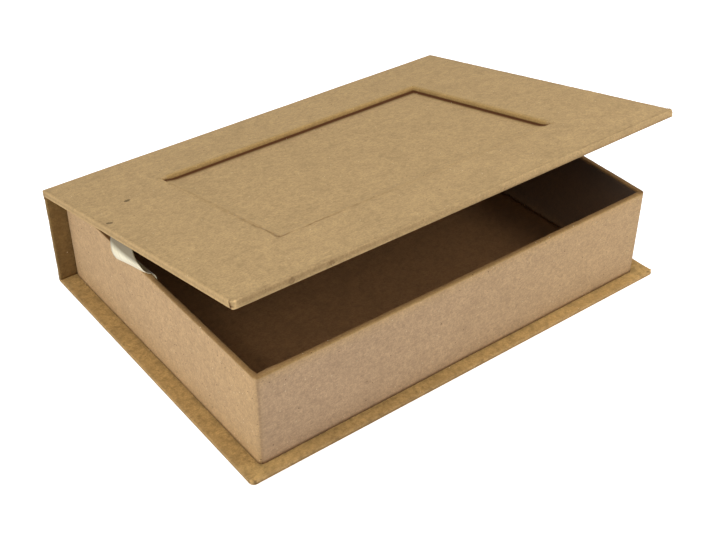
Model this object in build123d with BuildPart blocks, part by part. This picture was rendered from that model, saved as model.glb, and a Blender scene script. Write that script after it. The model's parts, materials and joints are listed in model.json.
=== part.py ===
from build123d import *

import os
from math import cos, radians, sin, tan

# A paper-covered book box: a case of base, spine and hinged lid, with a tray glued inside it.
# Millimetres. The lid opens at the front, -Y. The spine is at +Y, and +Z is up.
# The origin is the centre of the base's underside.

# Paper and board thicknesses
PAPER = 0.2
BASE_BOARD = 1.5
SPINE_BOARD = 2.2
WALL_BOARD = 2.1
FLOOR_BOARD = 1.5
BACK_BOARD = 1.5
FRAME_BOARD = 1.5

# Case
LENGTH = 240.0
WIDTH = 175.5
BASE_CORNER_R = 2.5
LID_CORNER_R = 1.5
CASE_TURN_IN = 15.0
LID_ANGLE = 12.5
LID_REST_GAP = 1.1

# Tray
TRAY_HEIGHT = 46.7
SIDE_OVERHANG = 8.4
FRONT_OVERHANG = 6.4
TRAY_CORNER_R = 2.2
TRAY_TURN_IN = 12.0

# Window in the lid, as margins from the lid's outer edges
WINDOW_SIDE_MARGIN = 44.0
WINDOW_REAR_MARGIN = 38.3
WINDOW_FRONT_MARGIN = 35.2
PANEL_GAP = 0.3

# Paper hinge: how far its outside strip reaches along spine and lid, and its inside leg under the lid
HINGE_OUTSIDE = 1.5
HINGE_LEG = 12.0
HINGE_THROAT = 0.3

# Stay ribbon
RIBBON_WIDTH = 20.0
RIBBON_THICK = 0.2
RIBBON_TAIL = 20.0
RIBBON_SLOT = 0.3
RIBBON_SLOT_SIDE = 0.2
RIBBON_FROM_HINGE = 69.4
RIBBON_TRAY_Y = -22.0
RIBBON_STEPS = 2

# Levels, from the table up
board_top = PAPER + BASE_BOARD
base_top = board_top + PAPER
floor_top = base_top + FLOOR_BOARD
rim = base_top + TRAY_HEIGHT
board_rim = rim - PAPER
tray_turn_z = rim - TRAY_TURN_IN
hinge_z = rim + LID_REST_GAP
spine_top = hinge_z - PAPER

# Case outline: the covering paper is the outermost layer on every edge
half_length = LENGTH / 2
half_width = WIDTH / 2
board_end = half_length - PAPER
board_front = -half_width + PAPER
hinge_y = half_width - PAPER
case_turn_x = half_length - CASE_TURN_IN
case_turn_y = -half_width + CASE_TURN_IN

# Spine, from the outside in
spine_in = hinge_y - SPINE_BOARD
spine_lining = spine_in - PAPER

# Tray: outer faces, the boards between the two papers, and the cavity's faces
tray_end = half_length - SIDE_OVERHANG
tray_front = -half_width + FRONT_OVERHANG
tray_rear = spine_lining
wall_end = tray_end - PAPER
wall_front = tray_front + PAPER
wall_rear = tray_rear - PAPER
floor_end = wall_end - WALL_BOARD
floor_front = wall_front + WALL_BOARD
floor_rear = wall_rear - WALL_BOARD
cavity_end = floor_end - PAPER
cavity_front = floor_front + PAPER
cavity_rear = floor_rear - PAPER

# Lid, measured up from its underside and forward (-Y) from the hinge line, on its own tilted plane
back_top = PAPER + BACK_BOARD
frame_top = back_top + FRAME_BOARD
lid_thick = frame_top + PAPER
lid_front = -(hinge_y + half_width)
lid_board_front = lid_front + PAPER
lid_turn_y = lid_front + CASE_TURN_IN
window_end = half_length - WINDOW_SIDE_MARGIN
window_rear = PAPER - WINDOW_REAR_MARGIN
window_front = lid_front + WINDOW_FRONT_MARGIN
tilt = radians(LID_ANGLE)
lid_plane = Plane(origin=(0, hinge_y, hinge_z), x_dir=(1, 0, 0), z_dir=(0, sin(tilt), cos(tilt)))

# Ribbon slots: in the lid beside the left turn-in, in the tray under the left turn-in
lid_slot_x = -case_turn_x + RIBBON_SLOT / 2
tray_slot_z = tray_turn_z - RIBBON_SLOT / 2
ribbon_half = RIBBON_WIDTH / 2
slot_half = ribbon_half + RIBBON_SLOT_SIDE


def level(height):
    """The level plane at a height above the table."""
    return Plane.XY.offset(height)


def lid_level(height):
    """The lid's plane at a height above its underside."""
    return lid_plane.offset(height)


def lid_point(x, y, height):
    """The place in the box of a point given on the lid."""
    return lid_plane.from_local_coords(Vector(x, y, height))


def board(plane, x, y, height, front_r=0.0, rear_r=0.0, mode=Mode.ADD):
    """A flat piece from x[0] to x[1] and y[0] to y[1], its corners rounded in plan."""
    with BuildSketch(plane) as outline:
        with Locations(((x[0] + x[1]) / 2, (y[0] + y[1]) / 2)):
            Rectangle(x[1] - x[0], y[1] - y[0])
        if front_r:
            fillet(outline.vertices().group_by(Axis.Y)[0], front_r)
        if rear_r:
            fillet(outline.vertices().group_by(Axis.Y)[-1], rear_r)
    extrude(outline.sketch, amount=height, mode=mode)


def both_ways(x):
    """The span from -x to x."""
    return (-x, x)


# Base

with BuildPart() as base_board:
    board(level(PAPER), both_ways(board_end), (board_front, hinge_y), BASE_BOARD,
          front_r=BASE_CORNER_R - PAPER)

with BuildPart() as base_lining_paper:
    board(level(board_top), both_ways(case_turn_x), (case_turn_y, hinge_y), PAPER)

# Under the board, round its edges and turned in on top of it
with BuildPart() as base_cover_paper:
    board(level(0), both_ways(half_length), (-half_width, half_width), base_top, front_r=BASE_CORNER_R)
    board(level(PAPER), both_ways(board_end), (board_front, hinge_y), BASE_BOARD,
          front_r=BASE_CORNER_R - PAPER, mode=Mode.SUBTRACT)
    board(level(board_top), both_ways(case_turn_x), (case_turn_y, hinge_y), PAPER, mode=Mode.SUBTRACT)

# Spine, standing on the base

with BuildPart() as spine_board:
    board(level(base_top), both_ways(board_end), (spine_in, hinge_y), spine_top - base_top)

with BuildPart() as spine_lining_paper:
    board(level(base_top), both_ways(case_turn_x), (spine_lining, spine_in), spine_top - base_top)

# Down the outside, round both ends and turned in on the inner face, up to the hinge strip
with BuildPart() as spine_cover_paper:
    board(level(base_top), both_ways(half_length), (spine_lining, half_width), spine_top - base_top)
    board(level(base_top), both_ways(board_end), (spine_in, hinge_y), spine_top - base_top,
          mode=Mode.SUBTRACT)
    board(level(base_top), both_ways(case_turn_x), (spine_lining, spine_in), spine_top - base_top,
          mode=Mode.SUBTRACT)
    board(level(hinge_z - HINGE_OUTSIDE), both_ways(half_length), (hinge_y, half_width), HINGE_OUTSIDE,
          mode=Mode.SUBTRACT)

# Tray

with BuildPart() as tray_floor_board:
    board(level(base_top), both_ways(floor_end), (floor_front, floor_rear), FLOOR_BOARD)

with BuildPart() as tray_floor_lining:
    board(level(floor_top), both_ways(cavity_end), (cavity_front, cavity_rear), PAPER)

with BuildPart() as tray_front_wall:
    board(level(base_top), both_ways(wall_end), (wall_front, floor_front), board_rim - base_top,
          front_r=TRAY_CORNER_R - PAPER)

with BuildPart() as tray_rear_wall:
    board(level(base_top), both_ways(wall_end), (floor_rear, wall_rear), board_rim - base_top,
          rear_r=TRAY_CORNER_R - PAPER)

with BuildPart() as tray_right_wall:
    board(level(base_top), (floor_end, wall_end), (floor_front, floor_rear), board_rim - base_top)

tail_top = tray_slot_z + RIBBON_THICK / 2
tail_span_y = (RIBBON_TRAY_Y - ribbon_half, RIBBON_TRAY_Y + ribbon_half)
tail_span_x = (-floor_end - RIBBON_THICK, -floor_end)

# With a shallow pocket for the ribbon's glued tail
with BuildPart() as tray_left_wall:
    board(level(base_top), (-wall_end, -floor_end), (floor_front, floor_rear), board_rim - base_top)
    board(level(tail_top - RIBBON_TAIL), tail_span_x, tail_span_y, RIBBON_TAIL, mode=Mode.SUBTRACT)

# Outside the walls, over the rim and turned in down the inside
with BuildPart() as tray_wrap_paper:
    board(level(base_top), both_ways(tray_end), (tray_front, tray_rear), TRAY_HEIGHT,
          front_r=TRAY_CORNER_R, rear_r=TRAY_CORNER_R)
    board(level(base_top), both_ways(wall_end), (wall_front, wall_rear), TRAY_HEIGHT - PAPER,
          front_r=TRAY_CORNER_R - PAPER, rear_r=TRAY_CORNER_R - PAPER, mode=Mode.SUBTRACT)
    board(level(tray_turn_z), both_ways(floor_end), (floor_front, floor_rear), TRAY_TURN_IN)
    board(level(base_top), both_ways(cavity_end), (cavity_front, cavity_rear), TRAY_HEIGHT,
          mode=Mode.SUBTRACT)

with BuildPart() as tray_wall_lining:
    board(level(floor_top), both_ways(floor_end), (floor_front, floor_rear), tray_turn_z - floor_top)
    board(level(floor_top), both_ways(cavity_end), (cavity_front, cavity_rear), tray_turn_z - floor_top,
          mode=Mode.SUBTRACT)
    board(level(tray_turn_z - RIBBON_SLOT), (-floor_end, -cavity_end),
          (RIBBON_TRAY_Y - slot_half, RIBBON_TRAY_Y + slot_half), RIBBON_SLOT, mode=Mode.SUBTRACT)

# Lid

lid_tail_x = (-case_turn_x, -case_turn_x + RIBBON_TAIL)
lid_tail_y = (-RIBBON_FROM_HINGE - ribbon_half, -RIBBON_FROM_HINGE + ribbon_half)

# With a shallow pocket for the ribbon's other tail
with BuildPart() as lid_back_board:
    board(lid_level(PAPER), both_ways(board_end), (lid_board_front, 0), BACK_BOARD,
          front_r=LID_CORNER_R - PAPER)
    board(lid_level(PAPER), lid_tail_x, lid_tail_y, RIBBON_THICK, mode=Mode.SUBTRACT)

# Inlaid on the back board, cut a little smaller than the window
with BuildPart() as window_panel_paper:
    board(lid_level(back_top), both_ways(window_end - PANEL_GAP),
          (window_front + PANEL_GAP, window_rear - PANEL_GAP), PAPER)

with BuildPart() as lid_frame_board:
    board(lid_level(back_top), both_ways(board_end), (lid_board_front, 0), FRAME_BOARD,
          front_r=LID_CORNER_R - PAPER)
    board(lid_level(back_top), both_ways(window_end + PAPER), (window_front - PAPER, window_rear + PAPER),
          FRAME_BOARD, mode=Mode.SUBTRACT)

# Over the frame, down into the window, round the edges and turned in on the underside
with BuildPart() as lid_cover_paper:
    board(lid_level(0), both_ways(half_length), (lid_front, 0), lid_thick, front_r=LID_CORNER_R)
    board(lid_level(PAPER), both_ways(board_end), (lid_board_front, 0), frame_top - PAPER,
          front_r=LID_CORNER_R - PAPER, mode=Mode.SUBTRACT)
    board(lid_level(0), both_ways(case_turn_x), (lid_turn_y, -HINGE_LEG), PAPER, mode=Mode.SUBTRACT)
    board(lid_level(0), both_ways(board_end), (-HINGE_LEG, 0), PAPER, mode=Mode.SUBTRACT)
    board(lid_level(HINGE_OUTSIDE), both_ways(half_length), (0, PAPER), lid_thick - HINGE_OUTSIDE)
    board(lid_level(back_top), both_ways(window_end + PAPER), (window_front - PAPER, window_rear + PAPER),
          FRAME_BOARD)
    board(lid_level(back_top), both_ways(window_end), (window_front, window_rear), FRAME_BOARD + PAPER,
          mode=Mode.SUBTRACT)

with BuildPart() as lid_lining_paper:
    board(lid_level(0), both_ways(case_turn_x), (lid_turn_y, -HINGE_LEG), PAPER)
    board(lid_level(0), (-case_turn_x, -case_turn_x + RIBBON_SLOT),
          (-RIBBON_FROM_HINGE - slot_half, -RIBBON_FROM_HINGE + slot_half), PAPER, mode=Mode.SUBTRACT)

# Hinge: one strip outside the joint and one inside, which meet at the hinge line


def strip(points, half_span):
    """A paper strip along the spine, from its section across the hinge."""
    with BuildSketch(Plane.YZ) as section:
        with BuildLine():
            Polyline(*points, close=True)
        make_face()
    extrude(section.sketch, amount=half_span, both=True)


def on_section(y, height):
    """The place across the hinge of a point given on the lid."""
    point = lid_point(0, y, height)
    return (point.Y, point.Z)


hinge_line = (hinge_y, hinge_z)
outside_bend = (half_width, hinge_z - PAPER * tan(tilt / 2))
inside_bend = (hinge_y - HINGE_THROAT, hinge_z + HINGE_THROAT * tan(tilt / 2))

with BuildPart() as hinge_cover_strip:
    strip([(hinge_y, hinge_z - HINGE_OUTSIDE), hinge_line, on_section(0, HINGE_OUTSIDE),
           on_section(PAPER, HINGE_OUTSIDE), outside_bend, (half_width, hinge_z - HINGE_OUTSIDE)],
          half_length)

with BuildPart() as hinge_lining_strip:
    strip([(spine_lining, spine_top), (hinge_y, spine_top), hinge_line, on_section(0, PAPER),
           on_section(-HINGE_LEG, PAPER), on_section(-HINGE_LEG, 0), inside_bend,
           (spine_lining, hinge_z)], board_end)

# Stay ribbon: a tail glued under each lining, and the free length between the two slots

with BuildPart() as ribbon_lid_tail:
    board(lid_level(PAPER), (lid_slot_x - RIBBON_THICK / 2, lid_tail_x[1]), lid_tail_y, RIBBON_THICK)

with BuildPart() as ribbon_tray_tail:
    board(level(tail_top - RIBBON_TAIL), tail_span_x, tail_span_y, RIBBON_TAIL)

# Each place is the middle of the ribbon and the way across it, front edge first.
# Out of the lid's slot the ribbon turns left, and into the tray's slot it runs level.
lid_across = lid_point(0, -1, 0) - lid_point(0, 0, 0)
tray_across = Vector(0, -1, 0)
lid_end = [
    (lid_point(lid_slot_x, -RIBBON_FROM_HINGE, PAPER), lid_across),
    (lid_point(lid_slot_x, -RIBBON_FROM_HINGE, -0.15), lid_across),
    (lid_point(lid_slot_x - 0.25, -RIBBON_FROM_HINGE, -0.55), lid_across),
]
tray_end_places = [
    (Vector(-cavity_end + 0.3, RIBBON_TRAY_Y, tray_slot_z), tray_across),
    (Vector(-floor_end, RIBBON_TRAY_Y, tray_slot_z), tray_across),
]


def outside_rim(out, y, up):
    """A place out from the tray's left face and up from its rim."""
    return Vector(-tray_end - out, y, rim + up)


def inside_rim(inward, y, up):
    """A place in from the cavity's left face and up from the rim."""
    return Vector(-cavity_end + inward, y, rim + up)


def off_floor(inward, y, up):
    """A place in from the cavity's left face and up from the floor board."""
    return Vector(-cavity_end + inward, y, floor_top + up)


def by_slot(inward, y, up):
    """A place in from the cavity's left face and up from the ribbon's slot there."""
    return Vector(-cavity_end + inward, y, tray_slot_z + up)


# It bulges out over the left rim, turns down close inside it, and its slack lies in a loose S on the floor.
free_places = [
    (lid_point(lid_slot_x - 1.1, -RIBBON_FROM_HINGE, -0.9), lid_across),
    (lid_point(lid_slot_x - 5.6, -RIBBON_FROM_HINGE, -1.4), lid_across),
    (outside_rim(2.7, 18.6, 11.1), Vector(0.03, -0.97, 0.20)),
    (outside_rim(4.4, 15.2, 7.4), Vector(0.08, -0.95, 0.28)),
    (outside_rim(3.7, 12.6, 4.1), Vector(0.10, -0.95, 0.28)),
    (outside_rim(1.4, 10.2, 2.0), Vector(0.10, -0.97, 0.14)),
    (outside_rim(-1.2, 7.8, 1.0), Vector(0.03, -1.00, 0.03)),
    (inside_rim(-0.1, 6.9, 0.8), Vector(0.00, -1.00, 0.03)),
    (inside_rim(0.7, 6.0, -0.3), Vector(0.00, -1.00, 0.03)),
    (inside_rim(1.1, 4.6, -3.1), Vector(0.00, -1.00, 0.05)),
    (inside_rim(2.5, 1.8, -8.6), Vector(0.00, -1.00, 0.08)),
    (inside_rim(5.6, -3.0, -17.6), Vector(0.00, -1.00, 0.08)),
    (off_floor(11.5, -8.2, 16.4), Vector(0.00, -1.00, 0.05)),
    (off_floor(19.8, -12.4, 8.2), tray_across),
    (off_floor(23.3, -14.4, 4.4), tray_across),
    (off_floor(21.3, -15.8, 1.9), tray_across),
    (off_floor(13.0, -16.8, 1.4), tray_across),
    (off_floor(6.0, -17.6, 1.7), tray_across),
    (off_floor(2.9, -18.4, 4.0), tray_across),
    (off_floor(5.0, -19.0, 7.0), tray_across),
    (off_floor(8.6, -19.6, 8.6), tray_across),
    (off_floor(10.4, -20.2, 11.4), tray_across),
    (off_floor(8.8, -20.8, 15.0), tray_across),
    (off_floor(5.0, -21.4, 20.4), tray_across),
    (by_slot(2.2, RIBBON_TRAY_Y, -5.4), tray_across),
    (by_slot(1.2, RIBBON_TRAY_Y, -1.2), tray_across),
]


def smooth(before, start, end, after, share):
    """A point part of the way from start to end, on the curve that also heeds the points either side."""
    bend = before * -1 + start * 3 - end * 3 + after
    sway = before * 2 - start * 5 + end * 4 - after
    return start + ((end - before) * share + sway * share**2 + bend * share**3) / 2


def filled_in(places):
    """The places with smooth ones between them, up to the last place."""
    ends = [places[0], *places, places[-1]]
    result = []
    for i in range(1, len(ends) - 2):
        for step in range(RIBBON_STEPS):
            share = step / RIBBON_STEPS
            middle, across = [
                smooth(*[place[part] for place in ends[i - 1:i + 3]], share) for part in (0, 1)
            ]
            result.append((middle, across))
    return result + [places[-1]]


stations = lid_end + filled_in(free_places) + tray_end_places

with BuildPart() as ribbon_stay:
    for i, (middle, across) in enumerate(stations):
        before = stations[max(i - 1, 0)][0]
        after = stations[min(i + 1, len(stations) - 1)][0]
        across = across.normalized()
        along = (after - before) - across * across.dot(after - before)
        with BuildSketch(Plane(origin=middle, x_dir=across, z_dir=along)):
            Rectangle(RIBBON_WIDTH, RIBBON_THICK)
    loft(ruled=True)

free_length = sum((stations[i + 1][0] - stations[i][0]).length for i in range(len(stations) - 1))
print("ribbon free length", round(free_length, 1), "volume", round(ribbon_stay.part.volume, 1),
      "expected", round(free_length * RIBBON_WIDTH * RIBBON_THICK, 1))

pieces = {
    "base_board": base_board,
    "base_lining_paper": base_lining_paper,
    "base_cover_paper": base_cover_paper,
    "spine_board": spine_board,
    "spine_lining_paper": spine_lining_paper,
    "spine_cover_paper": spine_cover_paper,
    "tray_floor_board": tray_floor_board,
    "tray_floor_lining": tray_floor_lining,
    "tray_front_wall": tray_front_wall,
    "tray_rear_wall": tray_rear_wall,
    "tray_left_wall": tray_left_wall,
    "tray_right_wall": tray_right_wall,
    "tray_wrap_paper": tray_wrap_paper,
    "tray_wall_lining": tray_wall_lining,
    "lid_back_board": lid_back_board,
    "window_panel_paper": window_panel_paper,
    "lid_frame_board": lid_frame_board,
    "lid_cover_paper": lid_cover_paper,
    "lid_lining_paper": lid_lining_paper,
    "hinge_cover_strip": hinge_cover_strip,
    "hinge_lining_strip": hinge_lining_strip,
    "ribbon_lid_tail": ribbon_lid_tail,
    "ribbon_stay": ribbon_stay,
    "ribbon_tray_tail": ribbon_tray_tail,
}

os.makedirs("parts", exist_ok=True)
for name, piece in pieces.items():
    piece.part.label = name
    export_step(piece.part, f"parts/{name}.step")
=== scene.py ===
"""The book box's looks: its papers, paper hinge and ribbon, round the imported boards.

Sizes and places are in millimetres, as in the part's source, and become metres in new_mesh.
The lid's papers are made flat, on the lid: x along the spine, y from the hinge towards the front
(negative), and z up from the lid's underside. Their objects are then placed at the hinge and tilted.
"""

import json
import math

import bmesh
import bpy
import numpy as np
from mathutils import Matrix, Vector, noise


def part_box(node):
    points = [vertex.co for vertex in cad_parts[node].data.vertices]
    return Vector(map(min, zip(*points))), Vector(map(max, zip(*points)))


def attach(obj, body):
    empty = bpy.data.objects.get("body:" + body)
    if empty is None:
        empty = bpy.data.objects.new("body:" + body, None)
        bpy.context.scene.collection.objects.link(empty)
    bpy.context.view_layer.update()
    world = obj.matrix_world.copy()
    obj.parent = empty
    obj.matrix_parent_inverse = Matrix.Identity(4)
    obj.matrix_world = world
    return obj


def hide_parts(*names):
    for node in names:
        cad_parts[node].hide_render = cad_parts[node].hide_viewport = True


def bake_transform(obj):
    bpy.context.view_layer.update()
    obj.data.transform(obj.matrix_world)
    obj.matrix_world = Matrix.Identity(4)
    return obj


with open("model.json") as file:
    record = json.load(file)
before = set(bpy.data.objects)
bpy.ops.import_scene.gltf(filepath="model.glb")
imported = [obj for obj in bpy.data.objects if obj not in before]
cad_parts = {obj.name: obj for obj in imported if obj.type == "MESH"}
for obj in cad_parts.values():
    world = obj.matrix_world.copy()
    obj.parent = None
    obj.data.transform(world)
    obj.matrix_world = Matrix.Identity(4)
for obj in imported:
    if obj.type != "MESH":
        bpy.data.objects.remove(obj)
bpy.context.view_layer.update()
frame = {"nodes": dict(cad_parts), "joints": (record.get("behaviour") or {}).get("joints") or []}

MM = 0.001


def mm_box(node):
    """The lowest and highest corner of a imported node, in millimetres."""
    low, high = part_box(node)
    return Vector(low) / MM, Vector(high) / MM


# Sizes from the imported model
base_low, base_high = mm_box("base_cover_paper")
tray_low, tray_high = mm_box("tray_wrap_paper")
cavity_low, cavity_high = mm_box("tray_floor_lining")
spine_low, spine_high = mm_box("spine_cover_paper")
half_length = base_high.x
base_top = base_high.z
rim = tray_high.z
hinge = Vector(frame["joints"][0]["pos_m"]) / MM

# Sizes that the part's source names, repeated here
PAPER = 0.2
CASE_TURN_IN = 15.0
TRAY_TURN_IN = 12.0
BASE_CORNER_R = 2.5
TRAY_CORNER_R = 2.2
LID_CORNER_R = 1.5
LID_ANGLE = 12.5
LID_LENGTH = 175.3
LID_THICK = 3.4
WINDOW_X = 76.0
WINDOW_REAR = -38.1
WINDOW_FRONT = -140.1
WINDOW_DEPTH = 1.5
HINGE_OUTSIDE = 1.5
HINGE_LEG = 12.0
RIBBON_WIDTH = 20.0
RIBBON_THICK = 0.2

# Radii of the papers' folds round thin boards, and round the lid's and the tray's upper edges
FOLD_R = 0.45
EDGE_R = 0.6

lid_front = -LID_LENGTH
lid_rear = PAPER
window_floor = LID_THICK - WINDOW_DEPTH

tilt = math.radians(LID_ANGLE)
lid_place = Matrix.Translation(hinge * MM) @ Matrix.Rotation(-tilt, 4, "X")


def on_lid(x, y, z):
    """The place in the box, in millimetres, of a point given on the lid."""
    return lid_place @ Vector((x * MM, y * MM, z * MM)) / MM


def add_object(name, data):
    """A new object in the scene."""
    obj = bpy.data.objects.new(name, data)
    bpy.context.scene.collection.objects.link(obj)
    return obj


# Camera, where the photograph was taken from

CAMERA_PLACE = Vector((-286.8, -376.6, 349.5))
CAMERA_WAY = Vector((0.4902, 0.6425, -0.5890))
CAMERA_LENS = 59.03
CAMERA_SENSOR = 36.0
CAMERA_NEAREST = 20.0

camera_data = bpy.data.cameras.new("camera")
camera_data.sensor_width = CAMERA_SENSOR
camera_data.lens = CAMERA_LENS
camera_data.clip_start = CAMERA_NEAREST * MM
camera = add_object("camera", camera_data)
camera.location = CAMERA_PLACE * MM
camera.rotation_euler = CAMERA_WAY.to_track_quat("-Z", "Y").to_euler()
bpy.context.scene.camera = camera
bpy.context.scene.view_settings.view_transform = "Standard"


# Node graphs


class Graph:
    """A material's or world's node tree, with a short way to add and join nodes."""

    def __init__(self, owner):
        owner.use_nodes = True
        self.tree = owner.node_tree

    def add(self, kind, inputs=None, **settings):
        """A new node. A value in inputs is a number, a colour, or another node's output to join."""
        node = self.tree.nodes.new(kind)
        for key, value in settings.items():
            setattr(node, key, value)
        for key, value in (inputs or {}).items():
            self.put(node, key, value)
        return node

    def put(self, node, key, value):
        """Sets an input, or joins another node's output to it."""
        if isinstance(value, bpy.types.NodeSocket):
            self.tree.links.new(value, node.inputs[key])
        else:
            node.inputs[key].default_value = value

    def math(self, operation, a, b=0.0, clamp=False):
        """The output of a sum on one or two values."""
        return self.add("ShaderNodeMath", {0: a, 1: b}, operation=operation, use_clamp=clamp).outputs[0]

    def either(self, share, a, b):
        """The output of a mix of two shaders, the first where share is 0."""
        return self.add("ShaderNodeMixShader", {0: share, 1: a, 2: b}).outputs[0]

    def total(self, *parts):
        """The outputs given, each times its weight, added up."""
        weighted = [self.math("MULTIPLY", value, weight) for value, weight in parts]
        height = weighted[0]
        for value in weighted[1:]:
            height = self.math("ADD", height, value)
        return height

    def mix(self, share, a, b, blend_type="MIX"):
        """The output of a mix of two colours."""
        node = self.add("ShaderNodeMix", data_type="RGBA", blend_type=blend_type)
        self.put(node, 0, share)
        self.put(node, 6, a)
        self.put(node, 7, b)
        return node.outputs[2]

    def noise(self, place, size, detail=2.0, roughness=0.5):
        """Noise from 0 to 1 whose patches are about size millimetres across."""
        inputs = {"Vector": place, "Scale": 1 / (size * MM), "Detail": detail, "Roughness": roughness}
        return self.add("ShaderNodeTexNoise", inputs).outputs["Fac"]

    def attribute(self, name):
        """How far a number stored at the mesh's points is above 0, and how far below, each up to 1."""
        value = self.add("ShaderNodeAttribute", attribute_name=name).outputs["Fac"]
        return [self.math("MULTIPLY", value, sign, clamp=True) for sign in (1.0, -1.0)]

    def levels(self, value, low, high, to_low=0.0, to_high=1.0):
        """The value stretched so that low to high becomes to_low to to_high, held at both ends."""
        inputs = {"Value": value, "From Min": low, "From Max": high, "To Min": to_low, "To Max": to_high}
        return self.add("ShaderNodeMapRange", inputs).outputs[0]


def rgb(red, green, blue):
    """A colour of the screen, 0 to 255, as the linear colour that nodes take."""
    parts = [c / 255 for c in (red, green, blue)]
    return [c / 12.92 if c <= 0.04045 else ((c + 0.055) / 1.055) ** 2.4 for c in parts] + [1.0]


def shade(colour, by):
    """The colour made lighter or darker."""
    return [min(1.0, c * by) for c in colour[:3]] + [1.0]


def new_material(name):
    """A new material, with its graph and its shader."""
    material = bpy.data.materials.new(name)
    graph = Graph(material)
    return material, graph, graph.tree.nodes["Principled BSDF"]


# Kraft paper

SPECK_DARK = rgb(84, 60, 38)
SPECK_LIGHT = rgb(226, 206, 170)
# The dark colours that a paper's tone goes to: for dark marks, and for painted shade
FOLD_SHADE = rgb(78, 44, 16)
CASE_SHADE = rgb(74, 50, 22)
LINING_SHADE = rgb(80, 69, 61)
# Tints that a paper's warmth multiplies by; on the tray and by the lid's window they are painted bounce
# light
PINKISH = (0.96, 0.97, 1.08, 1.0)
AMBER = (1.0, 0.95, 0.72, 1.0)

# Sizes of the paper's patches and the width of its fibres, and the ways in which these lie
CLOUD = 19.0
CLUMP = 5.6
FLAKE = 2.4
GRIT = 0.8
FIBRE = 0.55
FIBRE_TURNS = ((0.3, 0.2, 0.4), (1.1, 0.5, 1.6), (0.4, 1.3, 2.7))
FIBRE_SLIMNESS = 0.16

PAPER_ROUGHNESS = 0.82
PAPER_SPECULAR = 0.12
PAPER_BUMP = 0.1


def fibre_layer(graph, place, turn, width):
    """Short fibres that lie one way, as noise drawn out to several times its width."""
    inputs = {"Vector": place, "Rotation": turn, "Scale": (FIBRE_SLIMNESS, 1.0, 1.0)}
    drawn = graph.add("ShaderNodeMapping", inputs)
    return graph.noise(drawn.outputs[0], width, detail=1.0)


def specks(graph, place, spacing, size, share):
    """1 on small scattered specks, 0 elsewhere."""
    cells = graph.add("ShaderNodeTexVoronoi", {"Vector": place, "Scale": 1 / (spacing * MM)})
    near = graph.math("LESS_THAN", cells.outputs["Distance"], size / spacing)
    parts = graph.add("ShaderNodeSeparateColor", {0: cells.outputs["Color"]})
    chosen = graph.math("LESS_THAN", parts.outputs[0], share)
    return graph.math("MULTIPLY", near, chosen)


def fleck(graph, place, grit, spot, size):
    """1 on a single ragged fleck at a spot, about size across its half, and 0 elsewhere."""
    inputs = {0: place, 1: [c * MM for c in spot]}
    away = graph.add("ShaderNodeVectorMath", inputs, operation="DISTANCE").outputs["Value"]
    edge = graph.math("MULTIPLY", graph.math("ADD", grit, 0.5), size * MM)
    return graph.math("LESS_THAN", away, edge)


def kraft(name, colour, mottle=1.0, speck=1.0, dark=FOLD_SHADE, flecks=()):
    """Brown kraft paper: cloudy, with clumped fibres and specks, and single dark flecks given as a place
    and a half width. A mesh's tone makes it paler or darker, for wear and for painted light and shade,
    and its warmth amber, or pinkish where negative, which on the tray and by the lid's window is painted
    bounce light."""
    material, graph, shader = new_material(name)
    place = graph.add("ShaderNodeTexCoord").outputs["Object"]
    cloud = graph.noise(place, CLOUD, detail=4.0, roughness=0.6)
    clump = graph.noise(place, CLUMP, detail=6.0, roughness=0.72)
    flake = graph.noise(place, FLAKE, detail=3.0, roughness=0.75)
    grit = graph.noise(place, GRIT, detail=2.0, roughness=0.7)
    layers = [fibre_layer(graph, place, turn, FIBRE) for turn in FIBRE_TURNS]
    fibres = graph.math("MAXIMUM", graph.math("MAXIMUM", layers[0], layers[1]), layers[2])

    cloudy = graph.levels(cloud, 0.3, 0.7)
    tint = graph.mix(cloudy, shade(colour, 1 - 0.12 * mottle), shade(colour, 1 + 0.07 * mottle))
    # Each pattern starts at one level and is full at the next, with a greatest share and a brightness
    patterns = (
        (clump, 0.35, 0.66, 0.70 * mottle, 1.26),
        (flake, 0.56, 0.30, 0.62 * mottle, 0.66),
        (fibres, 0.5, 0.8, 0.48, 1.32),
        (grit, 0.62, 0.32, 0.50, 0.60),
    )
    for pattern, start, full, most, brightness in patterns:
        share = graph.levels(pattern, start, full, 0.0, most)
        tint = graph.mix(share, tint, shade(colour, brightness))

    # The tone carries wear, and also painted light and shade; the warmth carries painted bounce light
    paler, darker = graph.attribute("tone")
    tint = graph.mix(paler, tint, shade(colour, 1.7))
    tint = graph.mix(darker, tint, dark)
    amber, pinkish = graph.attribute("warmth")
    tint = graph.mix(amber, tint, AMBER, blend_type="MULTIPLY")
    tint = graph.mix(pinkish, tint, PINKISH, blend_type="MULTIPLY")
    dark_specks = specks(graph, place, spacing=3.4, size=0.26, share=0.13 * speck)
    light_specks = specks(graph, place, spacing=2.6, size=0.22, share=0.12 * speck)
    tint = graph.mix(dark_specks, tint, SPECK_DARK)
    tint = graph.mix(light_specks, tint, SPECK_LIGHT)
    for spot, size in flecks:
        tint = graph.mix(fleck(graph, place, grit, spot, size), tint, shade(colour, 0.35))
    graph.put(shader, "Base Color", tint)

    height = graph.total((fibres, 0.6), (grit, 0.5), (clump, 0.9), (flake, 0.8))
    bump = graph.add("ShaderNodeBump", {"Height": height, "Strength": 0.7, "Distance": PAPER_BUMP * MM})
    graph.put(shader, "Normal", bump.outputs[0])
    rough = graph.levels(fibres, 0.4, 0.8, PAPER_ROUGHNESS - 0.05, PAPER_ROUGHNESS + 0.08)
    graph.put(shader, "Roughness", rough)
    shader.inputs["Specular IOR Level"].default_value = PAPER_SPECULAR
    return material


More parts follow.
